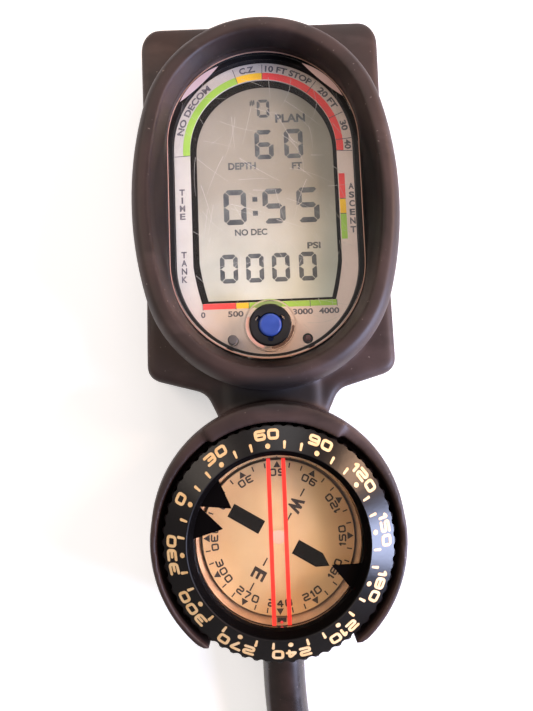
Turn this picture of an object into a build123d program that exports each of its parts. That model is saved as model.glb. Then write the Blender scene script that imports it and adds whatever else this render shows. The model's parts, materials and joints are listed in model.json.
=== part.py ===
"""Two-gauge dive console: a wrist-free air-integrated dive computer and a compass in one rubber boot.

Millimetres.  The console lies on its back: +Z towards the diver, +Y towards the computer end,
-Y towards the high-pressure hose.  The origin is the bottom centre of the console without its hose.
"""

import math
import os

from build123d import *

# ---- driving dimensions: the boot -------------------------------------------------------------
BASE_HALF_WIDTH = 37.5      # rubber plate round the computer, from the centre line
BASE_TOP_Y = 94.6           # far end of the plate
BASE_HEIGHT = 17.0
NECK_HALF_WIDTH = 16.2
NECK_HEIGHT = 18.0
RING_HALF_WIDTH = 38.5      # raised oval guard round the computer
RING_HALF_LENGTH = 54.5
RING_END_RADIUS = 36.0
RING_Y = 33.75
RING_CREST = 33.0
CUP_RADIUS = 35.3           # cup round the compass
CUP_BULGE = 2.6             # the cup swells by this much towards the computer
CUP_RIM = 30.2
CUP_END_Y = -88.3           # the cup is cut straight here, so that the bezel can be reached
BOOT_FLOOR = 3.0

# ---- the computer -----------------------------------------------------------------------------
CASE_Y = 35.0               # middle of the computer
CASE_RUN = 18.0             # half the straight part of its stadium outline
CASE_HALF_WIDTH = 29.0
CASE_WALL = 1.8
CASE_TOP = 20.0
CASE_FLOOR = 2.2
LENS_HALF_WIDTH = 28.8
LENS_BOTTOM = 20.6
LENS_TOP = 24.0
PLATE_HALF_WIDTH = 27.0     # printed label plate under the lens
PLATE_Y = 34.8
PLATE_RUN = 17.8
PLATE_BOTTOM = 19.2
PLATE_TOP = 19.6
MASK_HALF_WIDTH = 27.1      # black frame that the label plate is stuck on
MASK_BOTTOM = 19.05
WINDOW_HALF_WIDTH = 22.2    # display window in the label plate
WINDOW_LOW_Y = 5.5
WINDOW_HIGH_Y = 74.3
WINDOW_FOOT = 11.5          # height of the part where the window's sides lean in
WINDOW_FOOT_LEAN = 2.35
BOARD_BOTTOM = 14.6
BOARD_TOP = 15.6
BOARD_SCREWS = [(-19.0, 12.0), (19.0, 12.0), (-19.0, 66.0), (19.0, 66.0)]
LCD_BOTTOM = 16.8
LCD_TOP = 19.0
BATTERY_Y = 52.0
DEPTH_PORT = (15, 34)
DEPTH_PORT_RADIUS = 1.5
BATTERY_RADIUS = 12.25
BATTERY_HEIGHT = 5.0
CAP_RADIUS = 13.4
BUTTON_Y = -2.2
BUTTON_RADIUS = 3.3
DOT_X = 10.95               # the two round eyes beside the button
DOT_Y = -5.85
DOT_RADIUS = 1.4

# ---- the compass ------------------------------------------------------------------------------
COMPASS_Y = -61.3
COMPASS_FLOOR = 17.5
BEZEL_RADIUS = 31.5
BEZEL_BOTTOM = 20.2
BEZEL_RIM = 30.0
BEZEL_TOP = 33.4
BEZEL_THROAT_TOP = 23.9
BEZEL_THROAT = 22.9
BEZEL_THROAT_EDGE = 31.0    # the cone inside the bezel ends here, and the upright throat starts
BEZEL_THROAT_Z = 27.4
SCALLOPS = 60
SCALLOP_DEPTH = 0.8
BEZEL_ZERO = 295.5          # bearing of the bezel's zero mark from +Y, clockwise from above
POINTER_SPREAD = 11.0       # the two pointers beside zero stand this many degrees either side
POINTER_TIP = 15.4          # how far in the pointers reach
CARD_RADIUS = 21.0
CARD_TOP = 24.2
CARD_THICKNESS = 0.7
CARD_NORTH = 120.95         # bearing of the card's north arrow
CAPSULE_RADIUS = 24.2
CAPSULE_MOUTH = 23.0        # inner edge of the step that the capsule's lens sits on
CAPSULE_BOTTOM = 18.4
CAPSULE_LENS_BOTTOM = 25.2
CAPSULE_FLANGE_TOP = 27.0
CAPSULE_LENS_TOP = 29.6
CAPSULE_LENS_RADIUS = 22.6  # raised middle of the lens, inside the bezel's throat
LUBBER_DEPTH = 0.15
LUBBER_REACH = 22.1         # the lubber lines end this far from the middle
LUBBER_SPACING = 4.1
LUBBER_WIDTH = 1.1

# ---- the hose ---------------------------------------------------------------------------------
HOSE_DIAMETER = 12.5
HOSE_Z = 9.0                # axis of the high-pressure inlet inside the boot
HOSE_START_Y = -60.0
INLET_RADIUS = 4.45         # nose of the inlet, inside the swivel nut
INLET_NECK_RADIUS = 3.6     # its threaded neck, through the case wall
FERRULE_RADIUS = 7.0
COIL_X = -50.3              # the put-away length lies in one flat coil beyond the console
COIL_Y = -204.6
COIL_ENTRY_RADIUS = 76.0
COIL_TURNS = 1.35
COIL_ENTRY_ANGLE = 28.0     # degrees round from +X, where the hose joins the coil
TAIL_BEND_RADIUS = 48.0
TAIL_TURN = 115.0
FAR_END_Z = 7.4
THREAD_RADIUS = 5.55        # 7/16-20 UNF
HOSE_ROUTE = [
    (0.0, HOSE_START_Y, HOSE_Z),
    (0.0, -90.0, HOSE_Z),
    (0.6, -122.0, 6.9),
    (8.4, -153.0, 6.4),
    (23.6, -181.6, 6.4),
]

GAP = 0.3                   # clearance between parts that move past each other
SMALL_GAP = 0.1             # clearance between parts at rest
CUT = 1.0                   # how far a cutting tool runs past the material


# ---- shared shapes ----------------------------------------------------------------------------
def disc(radius, low, high, x=0.0, y=0.0):
    return Pos(x, y, (low + high) / 2) * Cylinder(radius, high - low)


def tube_ring(outer, inner, low, high, x=0.0, y=0.0):
    return disc(outer, low, high, x, y) - disc(inner, low - CUT, high + CUT, x, y)


def block(x0, x1, y0, y1, z0, z1):
    middle = Pos((x0 + x1) / 2, (y0 + y1) / 2, (z0 + z1) / 2)
    return middle * Box(x1 - x0, y1 - y0, z1 - z0)


def rod_along_y(radius, start_y, end_y, x=0.0, z=HOSE_Z):
    return Pos(x, (start_y + end_y) / 2, z) * Rot(90, 0, 0) * Cylinder(radius, abs(end_y - start_y))


def hex_along_y(across_flats, start_y, end_y, z=HOSE_Z):
    """A hexagonal nut on the hose axis, standing on two of its flats."""
    face = RegularPolygon(across_flats / 2, 6, major_radius=False, rotation=0)
    nut = extrude(face, end_y - start_y)
    return Pos(0, end_y, z) * Rot(90, 0, 0) * nut


def stadium(half_width, low, high, run=CASE_RUN, y=CASE_Y):
    """Straight-sided plate with round ends, centred on the computer."""
    face = Pos(0, y, low) * Rot(0, 0, 90) * SlotCenterToCenter(2 * run, 2 * half_width)
    return extrude(face, high - low)


def stadium_wire(half_width, z):
    top, low = CASE_Y + CASE_RUN, CASE_Y - CASE_RUN
    return Wire([
        Line((half_width, low, z), (half_width, top, z)),
        ThreePointArc((half_width, top, z), (0, top + half_width, z), (-half_width, top, z)),
        Line((-half_width, top, z), (-half_width, low, z)),
        ThreePointArc((-half_width, low, z), (0, low - half_width, z), (half_width, low, z)),
    ])


def oval_wire(offset, z):
    """Four-arc oval of the guard ring, grown or shrunk by an offset."""
    half_width, half_length = RING_HALF_WIDTH + offset, RING_HALF_LENGTH + offset
    end_radius = RING_END_RADIUS + offset
    end_y = half_length - end_radius
    side_radius = (half_width**2 + end_y**2 - end_radius**2) / (2 * (half_width - end_radius))
    side_x = side_radius - half_width
    reach = end_radius / (side_radius - end_radius)
    x, y = side_x * reach, end_y + end_y * reach
    top, low = RING_Y + y, RING_Y - y
    return Wire([
        ThreePointArc((x, low, z), (half_width, RING_Y, z), (x, top, z)),
        ThreePointArc((x, top, z), (0, RING_Y + half_length, z), (-x, top, z)),
        ThreePointArc((-x, top, z), (-half_width, RING_Y, z), (-x, low, z)),
        ThreePointArc((-x, low, z), (0, RING_Y - half_length, z), (x, low, z)),
    ])


def bearing_point(radius, bearing):
    """Offset from the compass centre at a bearing counted clockwise from +Y."""
    angle = math.radians(bearing)
    return radius * math.sin(angle), radius * math.cos(angle)


def o_ring(middle_radius, section_radius, x, y, z):
    return Pos(x, y, z) * Torus(middle_radius, section_radius)


def turned(profile, y=COMPASS_Y):
    """A solid of revolution round the compass axis, from (radius, z) points."""
    face = make_face(Plane.XZ * Polyline(*profile, close=True))
    return Pos(0, y, 0) * revolve(face, Axis.Z)


# ---- the boot ---------------------------------------------------------------------------------
def boot_plate():
    """Flat rubber plate under the computer, drawn in to the neck."""
    side = [
        (BASE_HALF_WIDTH + 0.3, BASE_TOP_Y),
        (BASE_HALF_WIDTH - 0.3, RING_Y),
        (BASE_HALF_WIDTH + 0.3, -15.8),
        (20.0, -20.8),
        (NECK_HALF_WIDTH, -29.0),
        (NECK_HALF_WIDTH, -44.0),
    ]
    side_radii = [6.0, 400.0, 5.0, 6.0, 8.0, 0.0]
    outline = side + [(-x, y) for x, y in reversed(side)]
    radii = side_radii + list(reversed(side_radii))
    plate = extrude(make_face(FilletPolyline(*outline, radius=radii, close=True)), BASE_HEIGHT)
    plate = fillet(plate.edges().group_by(Axis.Z)[-1], 2.6)
    return fillet(plate.edges().group_by(Axis.Z)[0], 3.0)


def boot_neck():
    neck = block(-NECK_HALF_WIDTH + 0.4, NECK_HALF_WIDTH - 0.4, -48, -10, 0.6, NECK_HEIGHT)
    return fillet(neck.edges().filter_by(Axis.Y), 4.0)


def boot_guard():
    """Raised oval guard, bulging outwards below its rounded crest."""
    heights = [(8.0, -2.6), (16.0, -1.3), (22.0, -0.3), (27.0, 0.0), (30.6, -0.8), (RING_CREST, -3.2)]
    return Solid.make_loft([oval_wire(offset, z) for z, offset in heights])


def boot_well():
    """The funnel above the lens and the straight pocket that holds the computer."""
    funnel = Solid.make_loft([
        stadium_wire(LENS_HALF_WIDTH + 0.5, LENS_TOP - 0.6),
        oval_wire(-7.7, 27.5),
        oval_wire(-6.7, 30.8),
        oval_wire(-5.6, RING_CREST + CUT),
    ], ruled=True)
    return funnel + stadium(CASE_HALF_WIDTH + SMALL_GAP, BOOT_FLOOR, LENS_TOP)


def cup_body(radius, y):
    return turned([
        (0, 0), (radius - 4.6, 0), (radius - 2.2, 1.2), (radius - 1.0, 3.6), (radius, 24.0),
        (radius - 0.2, 28.0), (radius - 0.9, CUP_RIM), (0, CUP_RIM),
    ], y)


def boot_cup():
    cup = cup_body(CUP_RADIUS, COMPASS_Y) + cup_body(CUP_RADIUS - 0.4, COMPASS_Y + CUP_BULGE)
    kept = block(-40, 40, CUP_END_Y, COMPASS_Y + 40, -CUT, 40)
    cup = cup & kept
    corners = cup.edges().filter_by(lambda e: e.center().Y < CUP_END_Y + 0.5 and abs(e.center().X) > 18)
    return fillet(corners.filter_by(lambda e: e.bounding_box().size.Z > 4), 5.0)


def boot_lip():
    """Rim that leans in over the compass, on the side towards the computer."""
    ring = disc(CUP_RADIUS - 1.0, 26.0, 31.2, y=COMPASS_Y + CUP_BULGE)
    ring -= disc(BEZEL_RADIUS + GAP, 25.0, 32.0, y=COMPASS_Y)
    x, y = bearing_point(60, 33)
    wedge_face = make_face(Polyline((0, 0), (x, y), (-x, y), close=True))
    return ring & (Pos(0, COMPASS_Y, 20) * extrude(wedge_face, 20))


def boot_passage():
    """Way through the neck for the inlet fittings, and under the compass for the hose."""
    fittings = rod_along_y(7.3, -62.4, -11.0)
    hose = rod_along_y(HOSE_DIAMETER / 2 + 0.4, -92.0, -62.0)
    return fittings + hose


def console_boot():
    boot = boot_plate() + boot_neck() + boot_guard() + boot_cup()
    bezel_room = disc(33.0, BEZEL_BOTTOM - 0.5, 40, y=COMPASS_Y)
    boot = boot - bezel_room + boot_lip()
    boot -= disc(28.6, COMPASS_FLOOR, 40, y=COMPASS_Y)
    boot -= boot_well()
    boot -= boot_passage()
    boot -= disc(DEPTH_PORT_RADIUS + 0.5, -CUT, BOOT_FLOOR + CUT, *DEPTH_PORT)
    return boot - disc(12.4, -CUT, BOOT_FLOOR + CUT, y=BATTERY_Y)


# ---- the computer -----------------------------------------------------------------------------
def computer_case():
    case = stadium(CASE_HALF_WIDTH, BOOT_FLOOR, CASE_TOP)
    case = fillet(case.edges().group_by(Axis.Z)[0], 1.2)
    case -= stadium(CASE_HALF_WIDTH - CASE_WALL, BOOT_FLOOR + CASE_FLOOR, CASE_TOP + CUT)
    case += rod_along_y(6.0, -12.8, -9.0)
    case -= rod_along_y(INLET_NECK_RADIUS, -14.0, -8.0) + rod_along_y(5.4, -9.0, 4.2)
    cap_seat = disc(CAP_RADIUS + GAP, BOOT_FLOOR - CUT, 4.4, y=BATTERY_Y)
    case -= cap_seat + disc(BATTERY_RADIUS + 0.35, 4.0, 6.0, y=BATTERY_Y)
    well = tube_ring(BATTERY_RADIUS + 1.6, BATTERY_RADIUS + 0.35, 5.0, 11.0, y=BATTERY_Y)
    case -= disc(DEPTH_PORT_RADIUS, BOOT_FLOOR - CUT, BOOT_FLOOR + CASE_FLOOR + CUT, *DEPTH_PORT)
    posts = [disc(2.0, 5.0, BOARD_BOTTOM, x, y) for x, y in BOARD_SCREWS]
    pilots = [disc(0.9, 8.0, BOARD_BOTTOM + CUT, x, y) for x, y in BOARD_SCREWS]
    return case + well + posts - pilots


def lens_seal():
    outside = stadium(LENS_HALF_WIDTH - 0.1, CASE_TOP, LENS_BOTTOM)
    return outside - stadium(PLATE_HALF_WIDTH + 0.3, CASE_TOP - CUT, LENS_BOTTOM + CUT)


def computer_lens():
    """Thick clear window with a round boss for the button."""
    lens = stadium(LENS_HALF_WIDTH, LENS_BOTTOM, LENS_TOP)
    lens = chamfer(lens.edges().group_by(Axis.Z)[-1], 0.7)
    boss = disc(7.6, LENS_BOTTOM, 26.0, y=BUTTON_Y)
    lens += chamfer(boss.edges().group_by(Axis.Z)[-1], 0.5)
    lens -= disc(6.15, 22.0, 27.0, y=BUTTON_Y)
    lens -= disc(2.2, 21.1, 22.5, y=BUTTON_Y)
    lens -= disc(1.45, LENS_BOTTOM - CUT, 22.5, y=BUTTON_Y)
    return lens - disc(DOT_RADIUS + 0.05, LENS_BOTTOM - CUT, LENS_TOP + CUT, -DOT_X, DOT_Y)


def window_outline():
    """Display window: an arched head over straight sides that lean in at the foot."""
    half = WINDOW_HALF_WIDTH
    shoulder = WINDOW_HIGH_Y - half
    foot = WINDOW_LOW_Y + WINDOW_FOOT
    corner = half - WINDOW_FOOT_LEAN
    bend = (half - 0.4 * WINDOW_FOOT_LEAN, WINDOW_LOW_Y + WINDOW_FOOT / 2)
    return make_face(Wire([
        Line((half, foot), (half, shoulder)),
        ThreePointArc((half, shoulder), (0, WINDOW_HIGH_Y), (-half, shoulder)),
        Line((-half, shoulder), (-half, foot)),
        ThreePointArc((-half, foot), (-bend[0], bend[1]), (-corner, WINDOW_LOW_Y)),
        Line((-corner, WINDOW_LOW_Y), (corner, WINDOW_LOW_Y)),
        ThreePointArc((corner, WINDOW_LOW_Y), bend, (half, foot)),
    ]))


def dial_openings():
    """What shows or passes through the label: the display, the button's stem and the two eyes."""
    low, high = MASK_BOTTOM - CUT, PLATE_TOP + CUT
    openings = Pos(0, 0, low) * extrude(window_outline(), high - low)
    openings += disc(2.4, low, high, y=BUTTON_Y)
    for side in (-1, 1):
        openings += disc(DOT_RADIUS + 0.15, low, high, side * DOT_X, DOT_Y)
    return openings


def dial_plate():
    return stadium(PLATE_HALF_WIDTH, PLATE_BOTTOM, PLATE_TOP, PLATE_RUN, PLATE_Y) - dial_openings()


def dial_mask():
    return stadium(MASK_HALF_WIDTH, MASK_BOTTOM, PLATE_BOTTOM) - dial_openings()


def lcd_panel():
    glass = block(-23.4, 23.4, 3.6, 77.0, LCD_BOTTOM, LCD_TOP)
    return glass & stadium(PLATE_HALF_WIDTH - 0.4, LCD_BOTTOM, LCD_TOP)


def lcd_reflector():
    return block(-18.6, 18.6, 6.0, 72.0, 16.0, LCD_BOTTOM)


def contact_strips():
    """Elastomer strips that join the circuit board to the display's edges."""
    middles = (-20.7, 20.7)
    return Compound(children=[block(x - 1.1, x + 1.1, 17.0, 61.0, BOARD_TOP, LCD_BOTTOM) for x in middles])


def circuit_board():
    board = stadium(25.8, BOARD_BOTTOM, BOARD_TOP)
    board -= Compound(children=[disc(1.3, 14, 16, x, y) for x, y in BOARD_SCREWS])
    return board


def board_screws():
    screws = []
    for x, y in BOARD_SCREWS:
        head = disc(1.9, BOARD_TOP, BOARD_TOP + 0.35, x, y)
        head -= block(x - 2, x + 2, y - 0.25, y + 0.25, BOARD_TOP + 0.2, BOARD_TOP + CUT)
        screws.append(head + disc(0.85, 9.0, BOARD_TOP, x, y))
    return Compound(children=screws)


def processor_chip():
    chip = block(-5, 5, 22, 32, 12.6, BOARD_BOTTOM)
    legs = []
    for row in range(8):
        y = 22.9 + row * 1.17
        legs += [block(-6.2, 6.2, y - 0.2, y + 0.2, 13.4, 13.7)]
        legs += [block(x - 0.2, x + 0.2, y - 0.2, y + 0.2, 13.4, BOARD_BOTTOM) for x in (-6.0, 6.0)]
    return chip + legs


def timing_crystal():
    can = Pos(-13, 27, 13.1) * Rot(90, 0, 0) * Cylinder(1.5, 8)
    return can + block(-13.6, -12.4, 22.6, 31.4, 13.6, BOARD_BOTTOM)


def sound_disc():
    """Piezo alarm disc, bonded to the inside of the case floor."""
    floor = BOOT_FLOOR + CASE_FLOOR
    return disc(9.0, floor, floor + 0.25, y=20) + disc(7.0, floor + 0.25, floor + 0.5, y=20)


def battery():
    cell = disc(BATTERY_RADIUS, 5.4, 5.4 + BATTERY_HEIGHT, y=BATTERY_Y)
    return fillet(cell.edges().group_by(Axis.Z)[0], 0.6)


def battery_contacts():
    """A spring leaf on the cell's face and a second one on its rim."""
    face_leaf = block(-2, 2, BATTERY_Y - 9, BATTERY_Y + 9, 14.2, BOARD_BOTTOM)
    face_leaf += block(-2, 2, BATTERY_Y + 5, BATTERY_Y + 5.4, 10.8, 14.3)
    face_leaf += block(-2, 2, BATTERY_Y - 4, BATTERY_Y + 5.4, 10.4, 10.8)
    rim_leaf = block(-1.5, 1.5, BATTERY_Y - 17.0, BATTERY_Y - 14.2, 14.2, BOARD_BOTTOM)
    rim_leaf += block(-1.5, 1.5, BATTERY_Y - 14.6, BATTERY_Y - 14.2, 11.0, 14.3)
    rim_leaf += block(-1.5, 1.5, BATTERY_Y - 14.6, BATTERY_Y - 11.0, 11.0, 11.3)
    return Compound(children=[face_leaf, rim_leaf])


def battery_cap():
    """Screw-down cap with a coin slot, reached through the hole in the boot's back."""
    cap = disc(11.9, 1.2, 5.2, y=BATTERY_Y) + disc(CAP_RADIUS, BOOT_FLOOR + 0.15, 4.2, y=BATTERY_Y)
    groove = tube_ring(CAP_RADIUS + CUT, CAP_RADIUS - 0.55, 3.5, 4.0, y=BATTERY_Y)
    coin_slot = block(-8.5, 8.5, BATTERY_Y - 1.0, BATTERY_Y + 1.0, 0, 2.4)
    return cap - groove - coin_slot


def battery_cap_seal():
    return o_ring(CAP_RADIUS - 0.3, 0.24, 0, BATTERY_Y, 3.75)


# ---- the button -------------------------------------------------------------------------------
def push_button():
    cap = disc(BUTTON_RADIUS, 23.6, 26.9, y=BUTTON_Y)
    cap = fillet(cap.edges().group_by(Axis.Z)[-1], 0.8)
    flange = disc(4.4, 23.6, 24.1, y=BUTTON_Y)
    stem = disc(1.2, 18.2, 23.8, y=BUTTON_Y)
    return cap + flange + stem


def button_collar():
    """Notched ring that screws into the lens boss and keeps the button in."""
    collar = tube_ring(6.0, BUTTON_RADIUS + 0.25, 24.4, 26.5, y=BUTTON_Y)
    collar += tube_ring(6.0, 4.8, 22.4, 24.4, y=BUTTON_Y)
    top_edges = collar.edges().group_by(Axis.Z)[-1]
    collar = chamfer(top_edges.sort_by(SortBy.RADIUS)[-1], 0.4)
    for step in range(3):
        x, y = bearing_point(3.9, 60 + step * 120)
        collar -= disc(0.85, 24.0, 27.0, x, BUTTON_Y + y)
    for step in range(6):
        x, y = bearing_point(6.2, 30 + step * 60)
        collar -= disc(0.6, 25.6, 27.0, x, BUTTON_Y + y)
    return collar


def button_spring():
    coil = Helix(0.6, 1.26, 2.9)
    wire = sweep(Plane(coil @ 0, z_dir=coil % 0) * Circle(0.15), path=coil)
    return Pos(0, BUTTON_Y, 22.17) * wire


def button_seal():
    return o_ring(1.7, 0.43, 0, BUTTON_Y, 21.55)


def button_switch():
    """Snap switch on the circuit board, under the button's stem."""
    body = block(-2.4, 2.4, BUTTON_Y - 2.4, BUTTON_Y + 2.4, BOARD_TOP, 16.6)
    return body + disc(1.2, 16.6, 17.2, y=BUTTON_Y)


def wet_contact():
    """Metal pin that feels the water, on the left of the button."""
    pin = disc(DOT_RADIUS, LENS_BOTTOM, LENS_TOP + 0.25, -DOT_X, DOT_Y)
    pin = chamfer(pin.edges().group_by(Axis.Z)[-1], 0.25)
    return pin + disc(0.6, BOARD_TOP, LENS_BOTTOM, -DOT_X, DOT_Y)


def warning_lamp():
    """Red lamp under the lens, on the right of the button."""
    legs = [disc(0.3, BOARD_TOP, 18.2, DOT_X + side * 0.6, DOT_Y) for side in (-1, 1)]
    dome_radius = DOT_RADIUS - 0.25
    body = disc(dome_radius, 18.0, MASK_BOTTOM + 0.1, DOT_X, DOT_Y)
    dome = Pos(DOT_X, DOT_Y, MASK_BOTTOM) * Sphere(dome_radius)
    return body + (dome & block(0, 20, -20, 0, MASK_BOTTOM, LENS_TOP)) + legs


def depth_sensor():
    """Pressure cell that feels the water through a port in the case's back."""
    floor = BOOT_FLOOR + CASE_FLOOR
    return disc(4.2, floor, floor + 2.6, *DEPTH_PORT) + disc(2.6, floor + 2.6, floor + 3.4, *DEPTH_PORT)


# ---- the high-pressure inlet ------------------------------------------------------------------
def pressure_inlet():
    """Brass inlet through the case wall."""
    nose = rod_along_y(INLET_RADIUS, -21.0, -14.2) + rod_along_y(5.9, -14.2, -12.8)
    neck = rod_along_y(INLET_NECK_RADIUS, -12.8, -5.0)
    return nose + neck - rod_along_y(1.6, -22.0, -4.0)


def inlet_nut():
    return hex_along_y(9.0, -9.0, -6.4) - rod_along_y(INLET_NECK_RADIUS, -10, -5)


def pressure_sensor():
    sensor = rod_along_y(4.6, -5.0, 1.4)
    return sensor + rod_along_y(3.0, 1.4, 3.4)


def swivel_spool():
    spool = rod_along_y(1.5, -24.4, -17.6) - rod_along_y(0.5, -26, -16)
    for y in (-22.8, -19.2):
        spool -= rod_along_y(1.7, y - 0.4, y + 0.4) - rod_along_y(0.95, y - 0.4, y + 0.4)
    return spool


def spool_seals():
    rings = [Pos(0, y, HOSE_Z) * Rot(90, 0, 0) * Torus(1.25, 0.3) for y in (-22.8, -19.2)]
    return Compound(children=rings)


def hose_swivel():
    """Swivel nut and stem between the inlet and the hose."""
    swivel = hex_along_y(12.0, -30.0, -14.4) + rod_along_y(5.4, -40.0, -30.0)
    swivel -= rod_along_y(INLET_RADIUS, -21.0, -14.0)
    swivel -= rod_along_y(1.6, -26.0, -20.0)
    return swivel - rod_along_y(1.2, -41.0, -25.0)


def crimp_grooves(ferrule, starts, depth=0.5, width=1.6):
    for start in starts:
        ferrule -= rod_along_y(FERRULE_RADIUS + CUT, start, start + width) - rod_along_y(
            FERRULE_RADIUS - depth, start - CUT, start + width + CUT)
    return ferrule


def hose_ferrule():
    ferrule = rod_along_y(FERRULE_RADIUS, HOSE_START_Y, -40.0)
    return crimp_grooves(ferrule, [-57.0, -53.4, -49.8, -46.2])


# ---- the compass ------------------------------------------------------------------------------
def compass_base():
    """Housing that holds the capsule and carries the bezel on its flange."""
    return turned([
        (0, COMPASS_FLOOR), (28.5, COMPASS_FLOOR), (28.5, 21.7), (29.6, 22.0), (29.6, 24.2),
        (27.0, 24.2), (27.0, 25.2), (CAPSULE_RADIUS, 25.2), (CAPSULE_RADIUS, CAPSULE_BOTTOM),
        (0, CAPSULE_BOTTOM),
    ])


def compass_capsule():
    """Oil-filled bowl with a step for the lens."""
    return turned([
        (0, CAPSULE_BOTTOM), (CAPSULE_RADIUS, CAPSULE_BOTTOM), (CAPSULE_RADIUS, CAPSULE_LENS_BOTTOM),
        (CAPSULE_MOUTH, CAPSULE_LENS_BOTTOM), (CAPSULE_MOUTH - 1.3, 23.0), (21.4, 20.6), (20.6, 19.6),
        (0, 19.6),
    ])


def capsule_lens():
    """Thick window: a flange on the capsule's step and a raised middle, grooved for the lubber lines."""
    raised = disc(CAPSULE_LENS_RADIUS, CAPSULE_LENS_BOTTOM, CAPSULE_LENS_TOP, y=COMPASS_Y)
    raised = chamfer(raised.edges().group_by(Axis.Z)[-1], 0.4)
    lens = raised + disc(CAPSULE_RADIUS, CAPSULE_LENS_BOTTOM, CAPSULE_FLANGE_TOP, y=COMPASS_Y)
    return lens - lubber_lines()


def lubber_lines():
    """Two red lines let into the lens's top, for reading the course."""
    lines = []
    for side in (-1, 1):
        x = side * LUBBER_SPACING / 2
        half = math.sqrt(LUBBER_REACH**2 - (abs(x) + LUBBER_WIDTH / 2) ** 2)
        lines.append(block(x - LUBBER_WIDTH / 2, x + LUBBER_WIDTH / 2, COMPASS_Y - half, COMPASS_Y + half,
                           CAPSULE_LENS_TOP - LUBBER_DEPTH, CAPSULE_LENS_TOP))
    return Compound(children=lines)


def compass_card():
    card = disc(CARD_RADIUS, CARD_TOP - CARD_THICKNESS, CARD_TOP, y=COMPASS_Y)
    hub = disc(3.4, 22.6, CARD_TOP - CARD_THICKNESS, y=COMPASS_Y)
    return card + hub - disc(1.55, 20.0, 23.7, y=COMPASS_Y)


def card_magnet():
    """Bar magnet under the card, along its north-south line."""
    bar = Box(5.0, 26.0, 1.5) - Cylinder(3.45, 3)
    return Pos(0, COMPASS_Y, CARD_TOP - CARD_THICKNESS - 0.75) * Rot(0, 0, -CARD_NORTH) * bar


def pivot_jewel():
    jewel = disc(1.5, 22.4, 23.6, y=COMPASS_Y)
    return jewel - Pos(0, COMPASS_Y, 22.8) * Cone(0.95, 0.25, 0.8)


def pivot_pin():
    post = disc(1.6, 19.6, 20.8, y=COMPASS_Y) + disc(0.55, 20.8, 22.4, y=COMPASS_Y)
    return post + Pos(0, COMPASS_Y, 22.65) * Cone(0.55, 0.08, 0.5)


def bezel_pointer(bearing, tip_radius, half_angle):
    """Thin triangle that points in over the capsule lens."""
    corners = [bearing_point(BEZEL_THROAT + 0.6, bearing + side * half_angle) for side in (-1, 1)]
    face = make_face(Polyline(corners[0], corners[1], bearing_point(tip_radius, bearing), close=True))
    return Pos(0, COMPASS_Y, CAPSULE_LENS_TOP + 0.5) * extrude(face, 0.7)


def bezel():
    """Turning ring with a scalloped rim and a conical scale face."""
    ring = turned([
        (29.0, BEZEL_BOTTOM), (30.7, BEZEL_BOTTOM), (BEZEL_RADIUS, 21.2), (BEZEL_RADIUS, BEZEL_RIM - 0.5),
        (31.0, BEZEL_RIM), (BEZEL_THROAT_TOP + 0.5, BEZEL_TOP), (BEZEL_THROAT_TOP, BEZEL_TOP - 0.3),
        (BEZEL_THROAT, BEZEL_THROAT_EDGE), (BEZEL_THROAT, BEZEL_THROAT_Z), (27.3, BEZEL_THROAT_Z),
        (27.3, 25.6), (29.9, 25.6),
        (29.9, 21.7), (29.0, 21.4),
    ])
    cutter_radius = 1.3
    reach = BEZEL_RADIUS - SCALLOP_DEPTH + cutter_radius
    cutters = []
    for step in range(SCALLOPS):
        x, y = bearing_point(reach, BEZEL_ZERO + (step + 0.5) * 360 / SCALLOPS)
        cutters.append(disc(cutter_radius, BEZEL_BOTTOM - CUT, BEZEL_TOP, x, COMPASS_Y + y))
    ring -= cutters
    pointers = [
        bezel_pointer(BEZEL_ZERO - POINTER_SPREAD, POINTER_TIP, POINTER_SPREAD),
        bezel_pointer(BEZEL_ZERO + POINTER_SPREAD, POINTER_TIP, POINTER_SPREAD),
        bezel_pointer(BEZEL_ZERO + 180, POINTER_TIP, 9.5),
    ]
    return ring + pointers


def bezel_click_spring():
    """Bent wire under the bezel's shoulder that makes it click."""
    arc = tube_ring(28.6, 28.0, 24.2, 25.0, y=COMPASS_Y)
    wedge_face = make_face(Polyline((0, 0), bearing_point(60, 20), bearing_point(60, -20), close=True))
    return arc & (Pos(0, COMPASS_Y, 20) * extrude(wedge_face, 20))


# ---- the hose ---------------------------------------------------------------------------------
def bend_radii(route):
    """An arc at each corner, as large as its two runs allow."""
    points = [Vector(*point) for point in route]
    radii = []
    for before, corner, after in zip(points, points[1:], points[2:]):
        turn = (corner - before).get_angle(after - corner)
        shorter = min((corner - before).length, (after - corner).length)
        radii.append(0.45 * shorter / math.tan(math.radians(turn) / 2))
    return radii


def hose():
    radii = bend_radii(HOSE_ROUTE)
    path = FilletPolyline(*HOSE_ROUTE, radius=radii)
    start = Plane(path @ 0, z_dir=path % 0)
    solid = sweep(start * Circle(HOSE_DIAMETER / 2), path=path)
    expected = math.pi * (HOSE_DIAMETER / 2) ** 2 * path.length
    print("hose bend radii", [round(radius) for radius in radii])
    print("hose length", round(path.length, 1), "volume over expected", round(solid.volume / expected, 4))
    return solid


def coil_radius(turned_degrees):
    """Radius of the spiral: each turn lies one hose diameter inside the turn before."""
    return COIL_ENTRY_RADIUS - HOSE_DIAMETER * turned_degrees / 360


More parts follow.
